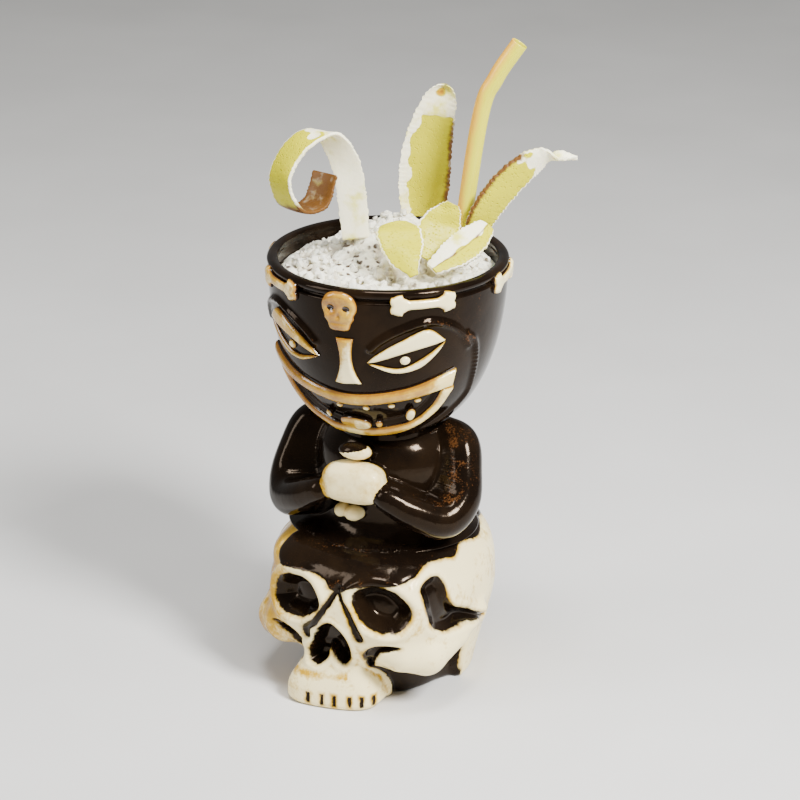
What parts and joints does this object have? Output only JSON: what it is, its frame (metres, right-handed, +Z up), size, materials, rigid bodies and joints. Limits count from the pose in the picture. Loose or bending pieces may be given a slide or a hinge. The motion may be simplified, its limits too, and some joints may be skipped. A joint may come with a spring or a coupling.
{
  "type": "tiki mug",
  "caption": "Glazed ceramic tiki mug: grinning head bowl on a folded-arm torso on a skull foot, served with crushed ice, citrus peel garnish and a straw.",
  "frame": {"origin": "on the resting plane, under the middle of the mug's mouth (the head's turning axis)", "axes": "+Z up, the face looks along -Y, and +X is on the right of someone who faces the mug"},
  "size_m": [0.1133, 0.0953, 0.2537],
  "materials": {
    "black_glaze": "black-brown gloss glaze, mirror smooth, with faint rust-brown breaks on edges",
    "cream_glaze": "cream gloss glaze over carved clay, pooled amber at its edges",
    "amber_glaze": "mottled amber and ochre gloss glaze that breaks to cream on high places",
    "crushed_ice": "packed crushed ice, white with clear dark gaps between the crystals",
    "citrus_peel": "lemon peel: pitted yellow-green zest outside, cream pith inside, browned cut edges",
    "straw_plastic": "plain yellow drinking straw, satin"
  },
  "bodies": {
    "mug": {"head_bowl": "black_glaze", "rim_bone_1": "cream_glaze", "rim_bone_2": "cream_glaze", "rim_bone_3": "cream_glaze", "rim_bone_4": "cream_glaze", "rim_bone_5": "cream_glaze", "rim_bone_6": "cream_glaze", "little_skull": "cream_glaze", "nose": "cream_glaze", "upper_eyelid_left": "cream_glaze", "lower_eyelid_left": "cream_glaze", "pupil_left": "cream_glaze", "brow_ridge_left": "black_glaze", "cheek_ridge_left": "black_glaze", "upper_eyelid_right": "cream_glaze", "lower_eyelid_right": "cream_glaze", "pupil_right": "cream_glaze", "brow_ridge_right": "black_glaze", "cheek_ridge_right": "black_glaze", "upper_lip": "amber_glaze", "lower_lip": "amber_glaze", "upper_tooth_1": "cream_glaze", "upper_tooth_2": "cream_glaze", "upper_tooth_3": "cream_glaze", "upper_tooth_4": "cream_glaze", "lower_tooth_1": "cream_glaze", "lower_tooth_2": "cream_glaze", "lower_tooth_3": "cream_glaze", "torso": "black_glaze", "clasped_hands": "cream_glaze", "arm_left": "black_glaze", "arm_right": "black_glaze", "thumb": "cream_glaze", "finger_1": "cream_glaze", "finger_2": "cream_glaze", "skull": "cream_glaze", "cheekbone_left": "cream_glaze", "cheekbone_right": "cream_glaze", "upper_jaw": "cream_glaze", "skull_tooth_1": "cream_glaze", "skull_tooth_2": "cream_glaze", "skull_tooth_3": "cream_glaze", "skull_tooth_4": "cream_glaze", "skull_tooth_5": "cream_glaze", "skull_tooth_6": "cream_glaze", "skull_tooth_7": "cream_glaze", "skull_tooth_8": "cream_glaze"},
    "ice": {"ice": "crushed_ice"},
    "garnish": {"peel_curl": "citrus_peel", "peel_blade_tall": "citrus_peel", "peel_blade_side": "citrus_peel", "peel_fold_left": "citrus_peel", "peel_fold_right": "citrus_peel", "peel_strip": "citrus_peel"},
    "straw": {"straw": "straw_plastic"}
  },
  "joints": [
    {"name": "ice_lift", "type": "slide", "parent": "mug", "child": "ice", "axis": [0, 0, 1], "range_m": [0, 0.08]},
    {"name": "garnish_lift", "type": "slide", "parent": "ice", "child": "garnish", "axis": [0.1243, 0.0548, 0.9907], "range_m": [0, 0.025]},
    {"name": "straw_draw", "type": "slide", "parent": "ice", "child": "straw", "axis": [0.1243, 0.0548, 0.9907], "range_m": [0, 0.08]}
  ]
}
